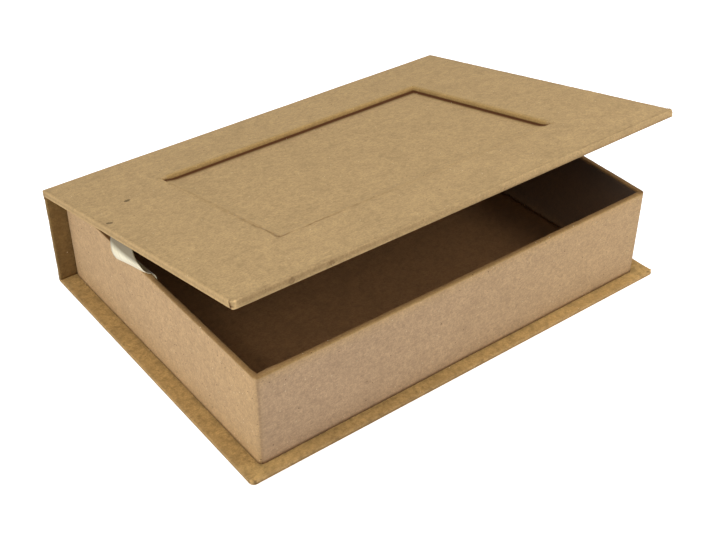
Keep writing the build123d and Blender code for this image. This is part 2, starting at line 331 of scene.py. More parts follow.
LID_FLECKS = (((-99.7, -49.3, LID_THICK), 1.2), ((-98.7, -49.0, LID_THICK), 0.9),
              ((-116.9, -66.0, LID_THICK), 0.9), ((-116.0, -66.8, LID_THICK), 0.9))
lid_paper = kraft("kraft_lid", rgb(186, 156, 111), flecks=LID_FLECKS)
panel_paper = kraft("kraft_panel", rgb(185, 155, 110))
# The case's cover paper is a more golden copy of the lid's: in part painted warm bounce light
case_paper = kraft("kraft_case", rgb(182, 148, 93), mottle=1.8, dark=CASE_SHADE)
tray_paper = kraft("kraft_tray", rgb(193, 161, 122), mottle=0.9, speck=3.0)
# The lining is a darker kraft than the outside, in part as painted shade for the tray's shaded inside
lining_paper = kraft("kraft_lining", rgb(138, 102, 66), speck=0.0, dark=LINING_SHADE)


def greyboard():
    """The pressed grey-brown board inside the papers."""
    material, graph, shader = new_material("greyboard")
    place = graph.add("ShaderNodeTexCoord").outputs["Object"]
    pulp = graph.noise(place, size=1.6, detail=5.0, roughness=0.7)
    shreds = fibre_layer(graph, place, turn=(0.5, 0.2, 0.9), width=0.7)
    tint = graph.mix(graph.levels(pulp, 0.35, 0.65), rgb(150, 142, 128), rgb(186, 178, 162))
    tint = graph.mix(graph.levels(shreds, 0.6, 0.75, 0.0, 0.5), tint, rgb(112, 102, 90))
    graph.put(shader, "Base Color", tint)
    bump = graph.add("ShaderNodeBump", {"Height": pulp, "Strength": 0.7, "Distance": 0.12 * MM})
    graph.put(shader, "Normal", bump.outputs[0])
    shader.inputs["Roughness"].default_value = 0.93
    return material


# The ribbon's threads across its width, and its cross threads along an equal length
THREADS = 62
PICKS = 40


def satin():
    """Cream satin ribbon: fine threads along it, a woven edge down each side, and a painted brownish
    shadow near the lid. Its map runs from 0 to 1 across, and along in ribbon widths."""
    material, graph, shader = new_material("satin")
    strip_map = graph.add("ShaderNodeUVMap", uv_map="along").outputs[0]
    parts = graph.add("ShaderNodeSeparateXYZ", {0: strip_map})
    across, along = parts.outputs[0], parts.outputs[1]
    threads = graph.math("SINE", graph.math("MULTIPLY", across, 2 * math.pi * THREADS))
    picks = graph.math("SINE", graph.math("MULTIPLY", along, 2 * math.pi * PICKS))
    from_middle = graph.math("ABSOLUTE", graph.math("SUBTRACT", across, 0.5))
    edge = graph.levels(from_middle, 0.455, 0.475)
    slub_place = graph.add("ShaderNodeCombineXYZ", {0: across, 1: graph.math("MULTIPLY", along, 0.06)})
    slub_inputs = {"Vector": slub_place.outputs[0], "Scale": 26.0, "Detail": 3.0}
    slub = graph.add("ShaderNodeTexNoise", slub_inputs).outputs["Fac"]
    tint = graph.mix(graph.levels(slub, 0.35, 0.65), rgb(226, 216, 184), rgb(240, 232, 202))
    tint = graph.mix(graph.math("MULTIPLY", edge, 0.4), tint, rgb(200, 190, 158))
    # Painted shadow: darker brown where the ribbon runs close under the lid
    from_lid = graph.math("SUBTRACT", along, graph.math("MULTIPLY", across, 0.28))
    tint = graph.mix(graph.levels(from_lid, 0.82, 0.66, 0.0, 0.92), tint, rgb(96, 79, 38))
    graph.put(shader, "Base Color", tint)
    weave = graph.math("MULTIPLY", graph.math("MULTIPLY", picks, threads), edge)
    height = graph.math("ADD", graph.math("MULTIPLY", threads, 0.5), weave)
    bump = graph.add("ShaderNodeBump", {"Height": height, "Strength": 0.16, "Distance": 0.05 * MM})
    graph.put(shader, "Normal", bump.outputs[0])
    graph.put(shader, "Roughness", graph.levels(edge, 0.0, 1.0, 0.42, 0.7))
    shader.inputs["Specular IOR Level"].default_value = 0.5
    shader.inputs["Sheen Weight"].default_value = 0.3
    shader.inputs["Sheen Roughness"].default_value = 0.4
    return material


board_stuff = greyboard()
ribbon_stuff = satin()


# Meshes

# Points closer than this, in metres, are one point
MERGE_DISTANCE = 1e-7


def new_mesh(name, points, faces, material, place=None, thickness=PAPER, solid_side=-1.0):
    """An object of these points, in millimetres, smooth, its sheet made solid inwards from them."""
    mesh = bpy.data.meshes.new(name)
    mesh.from_pydata([Vector(p) * MM for p in points], [], [tuple(int(i) for i in f) for f in faces])
    work = bmesh.new()
    work.from_mesh(mesh)
    bmesh.ops.remove_doubles(work, verts=work.verts, dist=MERGE_DISTANCE)
    loose = [v for v in work.verts if not v.link_faces]
    bmesh.ops.delete(work, geom=loose, context="VERTS")
    work.to_mesh(mesh)
    work.free()
    mesh.shade_smooth()
    mesh.materials.append(material)
    obj = add_object(name, mesh)
    if place is not None:
        obj.matrix_world = place
    solid = obj.modifiers.new("thickness", "SOLIDIFY")
    solid.thickness = thickness * MM
    solid.offset = solid_side
    return obj


def loft(rings, closed=True, keep=None):
    """Points and faces of a skin through rings of equally many points, in order from the lowest or
    innermost. keep[ring, point] says which faces are made."""
    rings = np.asarray(rings, float)
    count, size = rings.shape[:2]
    sides = size if closed else size - 1
    ring, point = np.meshgrid(np.arange(count - 1), np.arange(sides), indexing="ij")
    following = (point + 1) % size
    corners = [ring * size + point, ring * size + following,
               (ring + 1) * size + following, (ring + 1) * size + point]
    faces = np.stack(corners, axis=-1)
    if keep is not None:
        faces = faces[keep[:, :faces.shape[1]]]
    return rings.reshape(-1, 3), faces.reshape(-1, 4)


def arc(centre, radius, start, end, count):
    """Points along an arc from one angle to another, in degrees, without its two ends."""
    turns = np.radians(np.linspace(start, end, count + 2)[1:-1])
    return [(centre[0] + radius * math.cos(t), centre[1] + radius * math.sin(t)) for t in turns]


class Outline:
    """A rectangle in plan with rounded corners, always of equally many points: from the rear left corner
    down the left side, along the front, up the right side and back along the rear. The points along the
    front and the sides lie at the shares given as along and deep, with turn points in each corner."""

    def __init__(self, along, deep, turn=5):
        self.along = np.asarray(along)
        self.deep = np.asarray(deep)
        self.turn = turn
        self.sides = len(self.deep) * 2 + len(self.along) + turn * 2

    def ring(self, x, y, z, front_r, rear_r):
        """Its points at one height, for a rectangle from -x to x and from y[0], the front, to y[1]."""
        front, rear = y
        left = [(-x, rear - rear_r + (front + front_r - rear + rear_r) * t) for t in self.deep]
        fore = [(front_r - x + 2 * (x - front_r) * t, front) for t in self.along]
        right = [(x, py) for _, py in reversed(left)]
        back = [(x - rear_r - 2 * (x - rear_r) * t, rear) for t in self.along]
        corners = [
            arc((front_r - x, front + front_r), front_r, 180, 270, self.turn),
            arc((x - front_r, front + front_r), front_r, 270, 360, self.turn),
            arc((x - rear_r, rear - rear_r), rear_r, 0, 90, self.turn),
            arc((rear_r - x, rear - rear_r), rear_r, 90, 180, self.turn),
        ]
        plan = left + corners[0] + fore + corners[1] + right + corners[2] + back + corners[3]
        return [(px, py, z) for px, py in plan]


def spread(start, end, step):
    """Even values from start to end, about step apart."""
    return np.linspace(start, end, max(2, round(abs(end - start) / step) + 1))


def fold(radius=FOLD_R, count=4):
    """A quarter turn from a slab's side to its top, as (inset from the side, distance below the top)."""
    turns = np.radians(np.linspace(0, 90, count + 1))
    return [(radius * (1 - math.cos(t)), radius * (1 - math.sin(t))) for t in turns]


def stretches(start, *parts):
    """Values from start on, through parts that are each given as a step and an end."""
    values = [start]
    for step, end in parts:
        values += list(spread(values[-1], end, step)[1:])
    return values


# Surface relief and tone


def ripple(p, size, seed=0.0):
    """Smooth noise from -1 to 1 with waves about size millimetres long."""
    return noise.noise(Vector((p.x / size + seed, p.y / size - seed, p.z / size + seed * 0.7)))


def crease(p, size, seed=0.0):
    """Noise from 0 to 1 that peaks along thin branching lines, as crumpled paper does."""
    return (1 - abs(ripple(p, size, seed))) ** 5


def close_to(distance, reach):
    """1 at no distance, falling to almost nothing at twice the reach."""
    return math.exp(-((distance / reach) ** 2))


def ramp(value, start, length):
    """0 up to start, then rising evenly to 1 over the length."""
    return min(1.0, max(0.0, (value - start) / length))


def held_out(height, distance):
    """The height, kept from sinking in near an edge, where the paper lies tight on its board."""
    return max(height, -0.15 * (1 - close_to(distance, 1.4)))


def relief(obj, height):
    """Moves every point along its normal by height(point), in millimetres."""
    mesh = obj.data
    moves = [v.normal * height(v.co / MM) * MM for v in mesh.vertices]
    for vertex, move in zip(mesh.vertices, moves):
        vertex.co += move
    mesh.update()


def store(obj, name, value):
    """Stores value(point) at every point, for the paper's tone or warmth, from -1 to 1."""
    values = [value(v.co / MM) for v in obj.data.vertices]
    obj.data.attributes.new(name, "FLOAT", "POINT").data.foreach_set("value", values)


def dress(obj, body, node, height=None, tone=None, warmth=None, bowed=False):
    """Finishes a piece: its relief, tone and warmth, as functions of a point, and its wall's bow. It
    then goes on its body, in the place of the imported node."""
    if height:
        relief(obj, height)
    if tone:
        store(obj, "tone", tone)
    if warmth:
        store(obj, "warmth", warmth)
    if bowed:
        bend_out(obj)
    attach(obj, body)
    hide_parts(node)


# Base: its cover paper, from the middle of the underside round the edge to the turn-ins on top


def base_rings(shape):
    """The rings of the base's cover: on the underside, round the edge and on top."""
    x, front, rear = half_length, base_low.y, base_high.y
    bottom = []
    for share in spread(0, 1, 0.14)[:-1]:
        i = rear * (1 - share)
        bottom.append(shape.ring(x - i, (front + i, rear - i), 0.0, BASE_CORNER_R * share, 0.3 * share))
    edge = fold()[::-1]
    edge += [(0.0, z) for z in spread(FOLD_R, base_top - FOLD_R, 0.5)[1:-1]]
    edge += [(i, base_top - u) for i, u in fold()]
    sides = [
        shape.ring(x - i, (front + i, rear - min(i, 0.15)), z, BASE_CORNER_R - i * 0.8, 0.3)
        for i, z in edge
    ]
    top = []
    for i in [*spread(1.0, 12.0, 1.1), CASE_TURN_IN]:
        radius = max(0.2, BASE_CORNER_R - i * 0.8)
        top.append(shape.ring(x - i, (front + i, rear - PAPER), base_top, radius, 0.2))
    return bottom, sides, top


def base_edges(p):
    """How far a point is from the base's nearer end and from its front edge."""
    return half_length - abs(p.x), p.y - base_low.y


def base_relief(p):
    """Uneven board, and small crimps where the paper is gathered round the front corners."""
    out = min(base_edges(p))
    corner = math.hypot(*base_edges(p))
    wave = 0.10 * ripple(p, 34) + 0.03 * ripple(p, 7, 3.0)
    wave += 0.06 * close_to(out, 1.5) * ripple(p, 3.0, 1.0)
    crimp = close_to(corner, 4.0) * 0.45 * crease(p, 1.5, 5.0)
    rise = 1.0 if p.z > 0.9 else 0.25
    return held_out((wave + crimp) * rise, out)


def base_warmth(p):
    """Greyer at the outer edge."""
    return -0.9 * close_to(min(base_edges(p)), 1.2)


def base_tone(p):
    """Slightly rubbed edges, a pale foot to the fore edge, painted shade where the tray stands on the
    base, painted highlights and shade on the crimped front corners, and darker towards the rear corners
    and along the middle of the front."""
    end, fore = base_edges(p)
    out = min(end, fore)
    corner = math.hypot(end - 0.8, fore - 0.8)
    face = -0.08
    if fore < 0.5:
        face = 0.10 + 0.25 * close_to(p.z, 0.5) - 0.40 * close_to(p.z - 1.0, 0.35)
    rubbed = 0.07 * close_to(out - 0.4, 0.5) if p.z > base_top - 0.45 else face
    # Painted shade where the tray's walls stand on the base
    tray_contact_shade = 0.16 * close_to(abs(p.x) - tray_high.x, 1.6) + 0.20 * close_to(tray_low.y - p.y, 1.4)
    front = 0.22 * close_to(p.x + 52, 36) - 0.09 * ramp(p.x, 0, 60) if p.y < tray_low.y else 0.0
    rear = 0.30 * close_to(spine_low.y - p.y, 26) * max(0.0, ripple(p, 9, 2.0) + 0.25)
    blots = 0.14 * max(0.0, ripple(p, 11, 6.0))
    # Painted highlights and shade on the crimped front corners
    crimps = 1.4 * close_to(corner, 2.8) * ripple(p, 1.2, 3.0) + 0.14 * close_to(corner, 9.0)
    return rubbed + crimps - tray_contact_shade - front - rear - blots


base_shares = stretches(0, (0.004, 0.04), (0.012, 0.96), (0.004, 1))
base_shape = Outline(base_shares, base_shares, turn=9)
bottom, sides, top = base_rings(base_shape)
base_stack = bottom + sides + top
base_keep = np.ones((len(base_stack) - 1, len(top[0])), bool)
base_keep[len(bottom + sides) - 1:, base_shape.sides:] = False
base_cover = new_mesh("base_cover", *loft(base_stack, keep=base_keep), case_paper)
dress(base_cover, "case_and_tray", "base_cover_paper", base_relief, base_tone,
      base_warmth)


# Spine: its cover paper, from one inside turn-in round the ends and the outside to the other


def spine_path():
    """The spine's cover in plan, anticlockwise from the right-hand turn-in."""
    x, inside, outside = half_length, spine_low.y, spine_high.y
    half = [(px, inside) for px in spread(x - CASE_TURN_IN, x - FOLD_R, 1.5)]
    half += arc((x - FOLD_R, inside + FOLD_R), FOLD_R, 270, 360, 4)
    half += [(x, py) for py in spread(inside + FOLD_R, outside - FOLD_R, 0.6)]
    half += arc((x - FOLD_R, outside - FOLD_R), FOLD_R, 0, 90, 4)
    back = [(px, outside) for px in spread(x - FOLD_R, FOLD_R - x, 2.4)]
    return half + back + [(-px, py) for px, py in reversed(half)]


def spine_relief(p):
    """A slightly uneven back, with ends that waver as glued paper does."""
    end = close_to(half_length - abs(p.x), 2.0)
    return 0.07 * ripple(p, 26, 1.0) + 0.10 * end * ripple(p, 5, 4.0)


# How much darker the papers are painted where they lie in shade inside the box
INSIDE_SHADE = 0.62


def spine_tone(p):
    """Darker ends, a little rubbed at their outer corner, and painted shade on the inside where the case
    folds.
    """
    end = close_to(half_length - abs(p.x), 0.7)
    outer = close_to(spine_high.y - p.y, 0.5)
    inner = close_to(p.y - spine_low.y, 0.8)
    return max(-INSIDE_SHADE, end * (0.25 * outer - 0.60) - INSIDE_SHADE * inner)


path = spine_path()
heights = [*spread(base_top, hinge.z - HINGE_OUTSIDE, 1.5), spine_high.z]
spine_rings = [[(px, py, z) for px, py in path] for z in heights]
spine_keep = np.ones((len(heights) - 1, len(path)), bool)
behind = np.array([py > spine_high.y - 0.3 for px, py in path])
spine_keep[-1, behind] = False
spine_cover = new_mesh("spine_cover", *loft(spine_rings, closed=False, keep=spine_keep), case_paper)
dress(spine_cover, "case_and_tray", "spine_cover_paper", spine_relief, spine_tone)


# Tray: its wrap, up the outside, over the rim and down to its turned-in edge


def tray_rings(shape):
    """The rings of the tray's wrap, from the base to the edge of the turn-in."""
    wall = tray_high.x - cavity_high.x
    rises = [*spread(base_top, rim - 5, 1.8), *spread(rim - 4.4, rim - EDGE_R - 0.1, 0.5)]
    outer = [(0.0, z) for z in rises]
    over = [(i, rim - u) for i, u in fold(EDGE_R, 5)]
    over += [(wall - i, rim - u) for i, u in fold(EDGE_R, 5)[::-1]]
    inner = [(wall, z) for z in spread(rim - 0.9, rim - TRAY_TURN_IN, 1.2)]
    rings = []
    for i, z in outer + over + inner:
        radius = max(0.4, TRAY_CORNER_R - i * 0.9)
        rings.append(shape.ring(tray_high.x - i, (tray_low.y + i, tray_high.y - i), z, radius, radius))
    return rings


def tray_relief(p):
    """Uneven walls, and a rim lumpy where the paper is folded in and lapped at the corners."""
    at_rim = close_to(rim - p.z, 1.4)
    corner = math.hypot(cavity_high.x - abs(p.x), p.y - cavity_low.y)
    lap = close_to(abs(p.x - (cavity_low.x + 5.5)), 4.0) * close_to(p.y - cavity_low.y, 2.2)
    under_ribbon = close_to(p.x - tray_low.x, 4.0) * close_to(p.y - 10, 12) * at_rim
    folded = 0.30 * close_to(corner, 3.0) * crease(p, 2.0)
    lumps = at_rim * (0.12 * ripple(p, 4, 1.0) + folded + 0.55 * lap)
    wave = 0.12 * ripple(p, 38, 2.0) + 0.04 * ripple(p, 9, 6.0)
    return held_out((wave + lumps) * (1 - under_ribbon), rim - p.z)


def tray_tone(p):
    """Painted shade: on the vertical corners and the rim, most so by the hinge, at the foot, and on the
    walls towards the spine and all over inside."""
    inside = min(p.x - tray_low.x, tray_high.x - p.x, p.y - tray_low.y, tray_high.y - p.y)
    # Painted shade all over the inside
    if inside > 1.9:
        return -INSIDE_SHADE
    end, fore, back = tray_high.x - abs(p.x), p.y - tray_low.y, tray_high.y - p.y
    # Painted shade on the vertical corners, with a dark line where they turn
    corner = -0.06 * close_to(end - 0.2, 0.8) * close_to(fore - 1.4, 1.4)
    corner_line = -0.26 * close_to(end - 1.2, 0.6) * close_to(fore - 0.2, 0.4)
    by_hinge = 0.45 * ramp(p.y, 12, 16)
    far = 0.45 * ramp(inside, 0, 1.2) if p.x > tray_high.x - 3 else 0.0
    # Painted shade on the rim under the lid, most by the hinge and at the right
    top = -(0.46 + by_hinge + far) * close_to(rim - p.z, 0.5)
    # Painted shade at the foot and towards the spine
    foot = -0.40 * close_to(p.z - base_top, 0.8) - 0.06 * close_to(p.z - base_top, 5.0)
    foot -= 0.50 * close_to(back, 0.7) + 0.18 * close_to(back, 5.0)
    return max(-0.9, corner + corner_line + top + foot)


def tray_warmth(p):
    """Painted bounce light: amber on the rim and low on the left wall, pinkish towards the left of the
    front wall.
    """
    on_rim = 0.85 * close_to(rim - p.z, 0.7)
    if p.y < tray_low.y + 0.4:
        pink = ramp(70 - p.x, 0, 150) * (1 - close_to(tray_high.x - abs(p.x), 1.8))
        pink *= 1 - close_to(rim - p.z, 3.5)
        return on_rim + 0.35 * close_to(rim - p.z, 4.0) - pink
    return 0.30 * close_to(p.z - base_top, 8) + on_rim + 0.2 * close_to(p.y - tray_low.y, 25)


# The top of the right wall has bowed outwards
RIGHT_BOW = 2.3


def bow(p):
    """How far outwards the right wall has moved at a point: most at the middle of its top."""
    share = (p.y - cavity_low.y) / (cavity_high.y - cavity_low.y)
    if p.x < cavity_high.x - 1 or not 0 < share < 1:
        return 0.0
    return RIGHT_BOW * math.sin(math.pi * share) * max(0.0, p.z - base_top) / (rim - base_top)


def bend_out(obj):
    """Moves the points of an object that belong to the right wall as the wall has bowed."""
    for vertex in obj.data.vertices:
        vertex.co.x += bow(vertex.co / MM) * MM
    obj.data.update()


tray_shape = Outline(spread(0, 1, 0.0085), spread(0, 1, 0.0110))
tray_wrap = new_mesh("tray_wrap", *loft(tray_rings(tray_shape)), tray_paper)
dress(tray_wrap, "case_and_tray", "tray_wrap_paper", tray_relief, tray_tone, tray_warmth,
      bowed=True)

# Tray linings: a band round the walls, lapped over the turn-in to just below the rim, and a floor sheet

LAPPED = 0.1


def wall_lining_tone(p):
    """Painted shade, most so below the rim, and painted light along the floor that evens out the
    corner's shade.
    """
    return -0.6 - 0.25 * close_to(rim - p.z, 12) + 0.3 * close_to(p.z - cavity_high.z, 3)


def floor_lining_tone(p):
    """Painted shadow towards the right wall, and painted light close to it that evens out the corner's
    shade.
    """
    to_right = cavity_high.x - p.x
    return 0.3 * close_to(to_right, 7) - 0.42 * close_to(to_right, 24)


lining_span = (cavity_low.y + LAPPED, cavity_high.y - LAPPED)
lining_rings = [
    tray_shape.ring(cavity_high.x - LAPPED, lining_span, z, 0.4, 0.4)
    for z in spread(rim - 0.9, cavity_high.z - 0.2, 1.6)
]
wall_lining = new_mesh("tray_wall_lining_sheet", *loft(lining_rings[::-1]), lining_paper)
dress(wall_lining, "case_and_tray", "tray_wall_lining",
      lambda p: 0.04 * ripple(p, 22, 7.0), wall_lining_tone, bowed=True)


def flat_sheet(name, x, y, z, step, material, facing=1.0, place=None):
    """A level sheet of paper, seen from above, or from below where facing is -1."""
    xs = spread(x[0], x[1], step)[::int(facing)]
    rows = [[(px, py, z) for px in xs] for py in spread(y[0], y[1], step)]
    return new_mesh(name, *loft(rows, closed=False), material, place=place)


floor_lining = flat_sheet("tray_floor_lining_sheet", (cavity_low.x, cavity_high.x),
                          (cavity_low.y, cavity_high.y), cavity_high.z, 3.0, lining_paper)
dress(floor_lining, "case_and_tray", "tray_floor_lining",
      lambda p: 0.06 * ripple(p, 30, 3.0), floor_lining_tone)


# Right wall's board, bowed with its papers

board_low, board_high = mm_box("tray_right_wall")
board_rings = [
    [(board_low.x, y, board_low.z), (board_high.x, y, board_low.z),
     (board_high.x, y, board_high.z), (board_low.x, y, board_high.z)]
    for y in spread(board_high.y, board_low.y, 4.0)
]
board_points, board_faces = loft(board_rings)
last = len(board_points) - 4
board_faces = [*board_faces, (3, 2, 1, 0), (last, last + 1, last + 2, last + 3)]
right_board = new_mesh("tray_right_board", board_points, board_faces, board_stuff)
right_board.modifiers.clear()
right_board.data.shade_flat()
dress(right_board, "case_and_tray", "tray_right_wall", bowed=True)


# Lid: its cover paper, from the turn-ins below, round the edges, across the frame and into the window

# Shares of the way from the lid's edge to its window, closer together near both
FRAME_SHARES = [0.007, 0.015, 0.024, 0.034, 0.046, *spread(0.06, 0.94, 0.032),
                0.956, 0.970, 0.981, 0.991, 1.0]
# The window's walls go this far below its panel's face
WALL_TUCK = 0.15


def level(ring, z):
    """A ring's points, all moved to one height."""
    return [(point[0], point[1], z) for point in ring]


def lid_rings(shape):
    """The rings of the lid's cover: underside, edge, frame and window wall."""
    x = half_length
    under = []
    for i in [CASE_TURN_IN, *spread(12.0, 1.0, 1.8)]:
        radius = max(0.3, LID_CORNER_R - i * 0.5)
        under.append(shape.ring(x - i, (lid_front + i, lid_rear), 0.0, radius, 0.2))
    profile = fold()[::-1]
    profile += [(0.0, z) for z in (0.8, 1.15, HINGE_OUTSIDE, 1.85)]
    profile += [(i, LID_THICK - u) for i, u in fold(EDGE_R, 5)]
    edge = [
        shape.ring(x - i, (lid_front + i, lid_rear - min(i, FOLD_R)), z, LID_CORNER_R - i * 0.5, 0.25)
        for i, z in profile
    ]
    outer = np.array(edge[-1])
    wall = np.array(shape.ring(WINDOW_X, (WINDOW_FRONT, WINDOW_REAR), 0.0, 0.5, 0.5))
    brink_y = (WINDOW_FRONT - FOLD_R, WINDOW_REAR + FOLD_R)
    brink = np.array(shape.ring(WINDOW_X + FOLD_R, brink_y, LID_THICK, 0.7, 0.7))
    frame_face = [list(outer * (1 - t) + brink * t) for t in FRAME_SHARES]
    turned = [
        level(wall * (1 - i / FOLD_R) + brink * (i / FOLD_R), LID_THICK - u)
        for i, u in fold()[::-1]
    ]
    down = [level(wall, z) for z in spread(LID_THICK - FOLD_R, window_floor - WALL_TUCK, 0.2)[1:]]
    return under, edge, frame_face, turned[1:] + down


def from_window(p):
    """How far outside the window a point of the lid is, in x and in y."""
    return abs(p.x) - WINDOW_X, max(p.y - WINDOW_REAR, WINDOW_FRONT - p.y)


def window_edge_distance(p):
    """How far a point of the lid is from the nearest edge of its window, in plan."""
    dx, dy = from_window(p)
    if dx > 0 and dy > 0:
        return math.hypot(dx, dy)
    return abs(max(dx, dy))


# Small curls of loose paper on the face of the fore edge, as (x, z, radius)
CURLS = ((-94.2, 2.0, 1.1), (-75.6, 2.2, 0.9))


def curl_ring(p):
    """1 on the ring of a curl, 0 away from it."""
    on_face = close_to(p.y - lid_front, 1.0)
    rings = [close_to(math.hypot(p.x - x, p.z - z) - radius, 0.4) for x, z, radius in CURLS]
    return on_face * max(rings)


def lid_edges(p):
    """How far a point is from the lid's nearer end and from its fore edge."""
    return half_length - abs(p.x), p.y - lid_front


def flap(p):
    """The folded flap at a front corner: its ridge on the front side, and its dark fold on the end."""
    end, fore = lid_edges(p)
    ridge = close_to(end - 1.7, 0.6) * close_to(fore, 0.7)
    tuck = close_to(fore - 1.6, 0.6) * close_to(end, 0.8)
    return ridge, tuck


def window_fold(p):
    """1 on a wavering crease just outside the window, near its front left corner, and 0 away from it."""
    line = close_to(window_edge_distance(p) - 0.9 - 0.8 * ripple(p, 8, 2.0), 0.5)
    near_corner = close_to(math.hypot(p.x + WINDOW_X - 6, p.y - WINDOW_FRONT - 6), 34)
    return line * near_corner * ramp(ripple(p, 6, 5.0), -0.75, 1)


def far_side(p):
    """1 near the window's rear and right sides, whose walls face the camera, and a little elsewhere."""
    return 1.0 if p.y > WINDOW_FRONT + 3 and p.x > 3 - WINDOW_X else 0.25


def lid_relief(p):
    """Uneven board, wrinkled fore edge, crumpled corners, and raised lips on the window's far sides."""
    end, fore = lid_edges(p)
    if p.z < 0.3:
        return 0.03 * ripple(p, 9, 2.0)
    lip = window_edge_distance(p)
    top = 1.0 if p.z > LID_THICK - 0.3 else 0.4
    wave = 0.10 * ripple(p, 40, 1.0) + 0.03 * ripple(p, 8, 5.0)
    edge = close_to(min(fore, end), 1.6) * (0.12 * ripple(p, 5, 2.0) + 0.12 * ripple(p, 2.2, 8.0))
    wrinkle = close_to(fore, 2.6) * (0.30 * crease(p, 3.0, 3.0) - 0.06)
    crumpled = 0.55 * crease(p, 1.8, 4.0) + 0.25 * ripple(p, 1.4, 9.0)
    corner = close_to(math.hypot(end, fore), 3.0) * crumpled
    ridge, tuck = flap(p)
    raised = close_to(lip - 1.6, 1.2) * (0.16 + 0.06 * ripple(p, 6, 4.0)) * far_side(p)
    near_left = close_to(p.x + WINDOW_X, 4.0) if p.x < 0 else 0.0
    near_front = close_to(p.y - WINDOW_FRONT, 4.0)
    crumple = max(near_left, near_front) * close_to(lip, 3.0) * (0.30 * crease(p, 4.5, 6.0) - 0.14)
    flat = top * (wave + wrinkle + corner + raised + crumple) + edge
    folds = 0.5 * curl_ring(p) + 0.35 * ridge - 0.05 * tuck - 0.2 * window_fold(p)
    return held_out(flat + folds, min(fore, end))


def edge_tone(p):
    """The lid's outer edge in painted light and shade: a dark band and a pale foot along the front,
    fading to a dark foot at the right, a dark outline at the right, and pale lines at the left.
    """
    end, fore = lid_edges(p)
    outer = close_to(min(fore, end), 0.9)
    if fore < end:
        # Painted shade in a band along the front, with a painted highlight at its foot
        to_right = ramp(p.x, -60, 80)
        pale_foot = 0.34 * close_to(p.z, 0.5) * max(0.0, 0.6 + ripple(p, 7, 5.0))
        shaded_band = -0.30 * close_to(p.z - 2.2, 1.2)
        return outer * ((1 - to_right) * (shaded_band + pale_foot) - 0.45 * to_right * close_to(p.z, 0.9))
    # Painted shade on the right, and painted highlights and shade in lines on the left
    if p.x > 0:
        return -0.20 * outer
    lines = 0.26 * close_to(p.z, 0.9) - 0.14 * close_to(p.z - 1.9, 0.6)
    return outer * (lines + 0.12 * close_to(p.z - LID_THICK + 0.2, 0.5))


def lid_tone(p):
    """Edges in painted light and shade, dark mitres and lines, painted highlights and shade on the
    crumpled corners and flaps and in the creases and curls, and painted shade on the window's walls,
    most at their foot, with a painted highlight and shade along its far brink.
    """
    end, fore = lid_edges(p)
    if p.z < 0.2:
        return -0.05
    lip = window_edge_distance(p)
    # Painted shade on the window's walls, most at their foot
    if lip < 0.3:
        return -0.12 - 0.20 * close_to(p.z - window_floor, 0.3)
    ridge, tuck = flap(p)
    # Painted highlight and shade along the window's far brink
    brink = far_side(p) * (0.05 * close_to(lip - 3.4, 0.6) - 0.10 * close_to(lip, 1.7))
    # Painted shade on the rear fold
    rear = -0.18 * close_to(lid_rear - p.y, 0.9)
    dx, dy = from_window(p)
    mitre = 0.0
    if min(dx, dy) > -0.5:
        mitre = -0.38 * close_to(dx - dy, 0.4) * close_to(math.hypot(dx, dy), 2.2)
    inner_line = -0.26 * close_to(min(fore, end) - 1.3, 0.5) * max(0.0, 0.4 + ripple(p, 4, 3.0))
    # Painted highlights and shade on the crumpled front corners
    crumpled = close_to(math.hypot(end, fore), 3.0) * (1.2 * ripple(p, 1.1, 2.0) + 0.1)
    # Painted highlight on the flap's ridge, and painted shade in its tuck, in the crease by the window
    # and round the curls
    folds = 0.35 * ridge - 0.95 * tuck - 0.55 * window_fold(p) - 0.42 * curl_ring(p)
    return edge_tone(p) + brink + rear + mitre + inner_line + crumpled + folds


def lid_warmth(p):
    """Painted bounce light: amber on the window's walls and along them, on the far sides."""
    if p.z <= window_floor - 0.2:
        return 0.0
    return 0.85 * far_side(p) * close_to(window_edge_distance(p), 2.0)


# The points along the sides start with those beside the paper hinge. Along the front they are closest
# together near the ends and where the curls are.
hinge_share = (HINGE_LEG + PAPER) / (LID_LENGTH + PAPER)
beside_hinge = len(spread(0, hinge_share, 0.02)) - 1
lid_deep = stretches(0, (0.02, hinge_share), (0.009, 0.95), (0.003, 1))
lid_along = stretches(0, (0.0022, 0.03), (0.004, 0.09), (0.0018, 0.21), (0.0065, 0.97), (0.0022, 1))
lid_shape = Outline(lid_along, lid_deep)
under, edge, frame_face, window_wall = lid_rings(lid_shape)
lid_stack = under + edge + frame_face + window_wall
# The paper hinge covers the rear of the underside, and the rear edge up to its outer end
lid_keep = np.ones((len(lid_stack) - 1, len(under[0])), bool)
lid_keep[:len(under), :beside_hinge] = False
lid_keep[:len(under), lid_shape.sides - beside_hinge - 1:] = False
covered = [
    k for k in range(len(under) + len(edge) - 1)
    if lid_stack[k + 1][0][2] <= HINGE_OUTSIDE + 0.01
]
lid_keep[covered, lid_shape.sides:] = False
lid_cover = new_mesh("lid_cover", *loft(lid_stack, keep=lid_keep), lid_paper, place=lid_place)
dress(lid_cover, "lid", "lid_cover_paper", lid_relief, lid_tone, lid_warmth)

# Lid: the panel in its window, tucked under the window's walls, and the lining below

PANEL_TUCK = 0.1
# The panel's points are closer together along its rear and right, where its painted shadow lies
SHADOW_BAND = 8.0
panel_right, panel_rear = WINDOW_X + PANEL_TUCK, WINDOW_REAR + PANEL_TUCK
panel_xs = stretches(-panel_right, (1.6, panel_right - SHADOW_BAND), (0.4, panel_right))
panel_ys = stretches(WINDOW_FRONT - PANEL_TUCK, (1.6, panel_rear - SHADOW_BAND), (0.4, panel_rear))
panel_rows = [[(px, py, window_floor) for px in panel_xs] for py in panel_ys]
lid_panel = new_mesh("lid_panel", *loft(panel_rows, closed=False), panel_paper, place=lid_place)


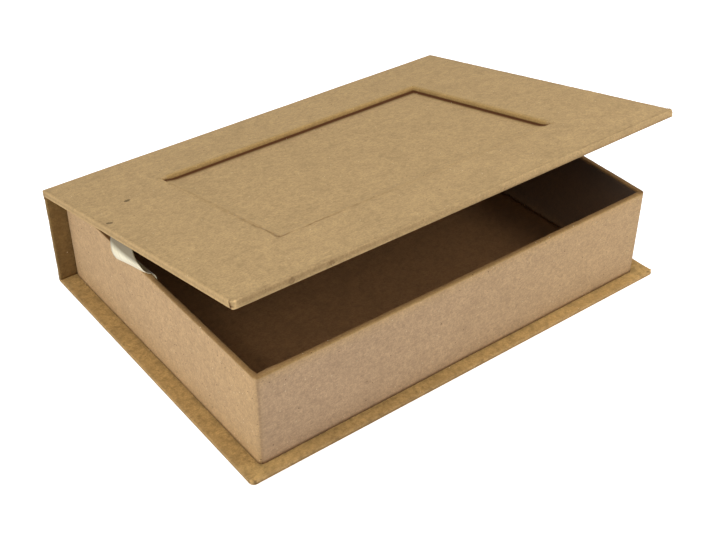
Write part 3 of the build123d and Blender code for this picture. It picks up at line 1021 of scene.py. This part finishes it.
def panel_relief(p):
    """A sheet that is not quite flat, and lifts a little along the left and front of the window."""
    lifted = max(close_to(p.x + WINDOW_X, 3.5), close_to(p.y - WINDOW_FRONT, 3.5))
    return 0.10 * ripple(p, 30, 2.5) + 0.03 * ripple(p, 7, 1.5) + 0.9 * lifted


def panel_tone(p):
    """Painted shadow along the rear and right of the window, thinner away from their corner, and painted
    light along its left and front.
    """
    from_rear, from_right = WINDOW_REAR - p.y, WINDOW_X - p.x
    near = min(from_rear / 1.4, from_right)
    away = max(from_rear, from_right) / (2 * WINDOW_X)
    # Painted shadow along the rear and right walls
    shadow_width = 2.3 - 0.6 * away
    starting = max(0.15, ramp(near, 0, 0.7))
    painted_shadow = 0.92 * starting * close_to(max(0.0, near - shadow_width), 1.5)
    painted_shadow += 0.14 * close_to(near, 5.5)
    # Painted light along the left and front of the window, against the shade there
    lit = 0.10 * max(close_to(p.x + WINDOW_X, 2.5), close_to(p.y - WINDOW_FRONT, 2.5))
    return lit - painted_shadow


def panel_warmth(p):
    """Painted bounce light: amber along the rear and right of the window."""
    return 0.85 * close_to(min(WINDOW_REAR - p.y, WINDOW_X - p.x), 4.0)


dress(lid_panel, "lid", "window_panel_paper", panel_relief, panel_tone, panel_warmth)

# The lining's edges stay this far from the turn-ins and the hinge, and its face this far below the board
LINING_GAP = 0.1
LINING_DROP = 0.02
lining_x = half_length - CASE_TURN_IN - LINING_GAP
lining_y = (lid_front + CASE_TURN_IN + LINING_GAP, -HINGE_LEG - LINING_GAP)
lid_lining = flat_sheet("lid_lining", (-lining_x, lining_x), lining_y, -LINING_DROP, 2.4,
                        lining_paper, facing=-1.0, place=lid_place)
dress(lid_lining, "lid", "lid_lining_paper", lambda p: 0.05 * ripple(p, 24, 5.0))


# Paper hinge: an outside and an inside strip, bent round the hinge to the lid where it rests


def apply_modifiers(obj):
    """Makes an object's mesh what its modifiers show."""
    graph = bpy.context.evaluated_depsgraph_get()
    obj.data = bpy.data.meshes.new_from_object(obj.evaluated_get(graph))
    obj.modifiers.clear()


def hinge_strip(name, section, half_span, material, node):
    """A strip along the hinge through section, given as (y, z) places."""
    rows = [[(px, py, pz) for py, pz in section] for px in spread(-half_span, half_span, 2.0)]
    strip = new_mesh(name, *loft(rows, closed=False), material)
    relief(strip, lambda p: 0.03 * ripple(p, 6, 2.0))
    apply_modifiers(strip)
    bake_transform(strip)
    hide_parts(node)


outside = spine_high.y
outside_section = [(outside, z) for z in spread(hinge.z - HINGE_OUTSIDE, hinge.z - 0.15, 0.25)]
outside_section += [on_lid(0, PAPER, z).yz for z in spread(0.15, HINGE_OUTSIDE, 0.25)]
hinge_strip("hinge_cover", outside_section[::-1], half_length, case_paper,
            "hinge_cover_strip")

inside_section = [(y, hinge.z) for y in spread(spine_low.y, hinge.y - 0.35, 0.35)]
inside_section += [on_lid(0, y, 0.0).yz for y in spread(-0.45, -HINGE_LEG, 0.45)]
hinge_strip("hinge_lining", inside_section[::-1], half_length - PAPER, lining_paper,
            "hinge_lining_strip")


# Ribbon: its free length between the two slots, as middles and ways across. It runs as in the part's
# source, but crosses the rim about 3 mm further back and lower.

lid_across = on_lid(0, -1, 0) - on_lid(0, 0, 0)
SLOT_Y = -69.4
UNDER_LID = ((-104.85, 0.2), (-104.85, -0.15), (-105.1, -0.55), (-105.95, -0.9), (-110.45, -1.4))
OVER_RIM = (
    ((-114.3, 18.5, 59.6), (0.03, -0.97, 0.20)),
    ((-115.9, 14.9, 55.7), (0.10, -0.97, 0.24)),
    ((-115.3, 12.5, 52.3), (0.12, -0.97, 0.24)),
    ((-113.6, 11.3, 50.0), (0.12, -0.98, 0.13)),
    ((-111.8, 10.9, 49.25), (0.08, -1.0, 0.05)),
    ((-110.3, 10.7, 49.0), (0.03, -1.0, 0.02)),
    ((-109.2, 10.5, 48.85), (0.0, -1.0, 0.02)),
    ((-108.8, 10.2, 48.2), (0.0, -1.0, 0.02)),
    ((-108.6, 9.2, 46.3), (0.0, -1.0, 0.02)),
    ((-107.4, 4.8, 40.5), (0.0, -1.0, 0.08)),
    ((-103.5, -3.0, 31.0), (0.0, -1.0, 0.08)),
    ((-97.6, -8.2, 19.8), (0.0, -1.0, 0.05)),
)
IN_TRAY = (
    (-89.3, -12.4, 11.6), (-85.8, -14.4, 7.8), (-87.8, -15.8, 5.3), (-96.1, -16.8, 4.8),
    (-103.1, -17.6, 5.1), (-106.2, -18.4, 7.4), (-104.1, -19.0, 10.4), (-100.5, -19.6, 12.0),
    (-98.7, -20.2, 14.8), (-100.3, -20.8, 18.4), (-104.1, -21.4, 23.8), (-106.9, -22.0, 31.05),
    (-107.9, -22.0, 35.25), (-108.8, -22.0, 36.45), (-109.3, -22.0, 36.45),
)
RIBBON_PLACES = [(on_lid(x, SLOT_Y, z), lid_across) for x, z in UNDER_LID]
RIBBON_PLACES += [(Vector(middle), Vector(across)) for middle, across in OVER_RIM]
RIBBON_PLACES += [(Vector(middle), Vector((0, -1, 0))) for middle in IN_TRAY]
RIBBON_STEP = 0.8


def smooth_between(before, start, end, after, share):
    """A point part of the way from start to end, on the curve that also heeds the points either side."""
    bend = before * -1 + start * 3 - end * 3 + after
    sway = before * 2 - start * 5 + end * 4 - after
    return start + ((end - before) * share + sway * share**2 + bend * share**3) / 2


def ribbon_stations():
    """Middles and ways across, close together along the ribbon."""
    ends = [RIBBON_PLACES[0], *RIBBON_PLACES, RIBBON_PLACES[-1]]
    stations = []
    for i in range(1, len(ends) - 2):
        gap = (ends[i + 1][0] - ends[i][0]).length
        for share in spread(0, 1, min(1.0, RIBBON_STEP / max(gap, 0.01)))[:-1]:
            middle, across = [
                smooth_between(*[place[part] for place in ends[i - 1:i + 3]], share) for part in (0, 1)
            ]
            stations.append((middle, across.normalized()))
    return stations + [RIBBON_PLACES[-1]]


def lifted_edge(point, share):
    """The point, raised towards the ribbon's front edge where it lies over the rim."""
    on_rim = close_to(point.x - tray_low.x - 1.0, 1.8) if abs(point.z - rim) < 4 else 0.0
    return point + Vector((0, 0, 1.5 * on_rim * max(0.0, 2 * share) ** 2))


stations = ribbon_stations()
columns = spread(-0.5, 0.5, 0.0625)
rows = [
    [lifted_edge(middle + across * RIBBON_WIDTH * share, share) for share in columns]
    for middle, across in stations
]
ribbon = new_mesh("ribbon", *loft(rows, closed=False), ribbon_stuff, thickness=RIBBON_THICK,
                  solid_side=0.0)
steps = [(after[0] - before[0]).length for before, after in zip(stations, stations[1:])]
lengths = np.cumsum([0.0, *steps])
strip_uv = ribbon.data.uv_layers.new(name="along")
for loop in ribbon.data.loops:
    row, column = divmod(loop.vertex_index, len(columns))
    strip_uv.data[loop.index].uv = (columns[column] + 0.5, lengths[row] / RIBBON_WIDTH)
apply_modifiers(ribbon)
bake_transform(ribbon)
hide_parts("ribbon_stay")


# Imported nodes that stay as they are, each with its material

STAYING = (
    (board_stuff, ("base_board", "spine_board", "tray_floor_board", "tray_front_wall", "tray_rear_wall",
                   "tray_left_wall", "lid_back_board", "lid_frame_board")),
    (lining_paper, ("base_lining_paper", "spine_lining_paper")),
    (ribbon_stuff, ("ribbon_lid_tail", "ribbon_tray_tail")),
)
for material, names in STAYING:
    for name in names:
        frame["nodes"][name].data.materials.clear()
        frame["nodes"][name].data.materials.append(material)


# Floor and backdrop: white to the camera, with the box's shadow

FLOOR_SIZE = 4000.0
FLOOR_DROP = 0.2
FLOOR_GLOW = 0.72
AMBIENT = 0.30
WHITE = (1, 1, 1, 1)


def seen_directly(graph):
    """1 for rays from the camera, or by way of a reflection or glass, and 0 for the rest."""
    rays = graph.add("ShaderNodeLightPath")
    seen = graph.math("MAXIMUM", rays.outputs["Is Camera Ray"], rays.outputs["Is Glossy Ray"])
    return graph.math("MAXIMUM", seen, rays.outputs["Is Transmission Ray"])


def floor_material():
    """A pale matt floor that looks white, but for the box's shadow."""
    material, graph, matt = new_material("floor")
    matt.inputs["Base Color"].default_value = (0.8, 0.8, 0.8, 1)
    matt.inputs["Roughness"].default_value = 0.9
    matt.inputs["Specular IOR Level"].default_value = 0.1
    glow = graph.add("ShaderNodeEmission", {"Color": WHITE, "Strength": FLOOR_GLOW})
    lit = graph.add("ShaderNodeAddShader", {0: matt.outputs[0], 1: glow.outputs[0]})
    choice = graph.either(seen_directly(graph), matt.outputs[0], lit.outputs[0])
    graph.put(graph.tree.nodes["Material Output"], "Surface", choice)
    return material


half = FLOOR_SIZE / 2
corners = ((-half, -half), (half, -half), (half, half), (-half, half))
floor_mesh = bpy.data.meshes.new("floor")
floor_mesh.from_pydata([Vector((x, y, -FLOOR_DROP)) * MM for x, y in corners], [], [(0, 1, 2, 3)])
floor_mesh.materials.append(floor_material())
floor = add_object("floor", floor_mesh)


def light_world(world):
    """An even, dim light from all round, and white where the camera sees past the floor."""
    graph = Graph(world)
    soft = graph.tree.nodes["Background"]
    soft.inputs["Color"].default_value = WHITE
    soft.inputs["Strength"].default_value = AMBIENT
    white = graph.add("ShaderNodeBackground", {"Color": WHITE, "Strength": 1.0})
    choice = graph.either(seen_directly(graph), soft.outputs[0], white.outputs[0])
    graph.put(graph.tree.nodes["World Output"], "Surface", choice)


bpy.context.scene.world = bpy.data.worlds.new("studio")
light_world(bpy.context.scene.world)


# Lights

# Lamps, as name, place, size and level
LAMPS = (
    ("key", (-1000, -200, 700), 800, 0.66),
    ("front", (450, -420, 420), 420, 0.50),
    ("top", (200, 500, 1300), 900, 0.20),
)
LAMP_AIM = Vector((0, 0, 30))


def softbox(name, place, size, level):
    """A square lamp aimed at the box. At level 1 it lights a facing white surface to white by itself."""
    data = bpy.data.lights.new(name, "AREA")
    data.shape = "SQUARE"
    data.size = size * MM
    lamp = add_object(name, data)
    lamp.location = Vector(place) * MM
    way = LAMP_AIM - Vector(place)
    lamp.rotation_euler = way.to_track_quat("-Z", "Y").to_euler()
    data.energy = level * (math.pi * way.length * MM) ** 2


for lamp in LAMPS:
    softbox(*lamp)
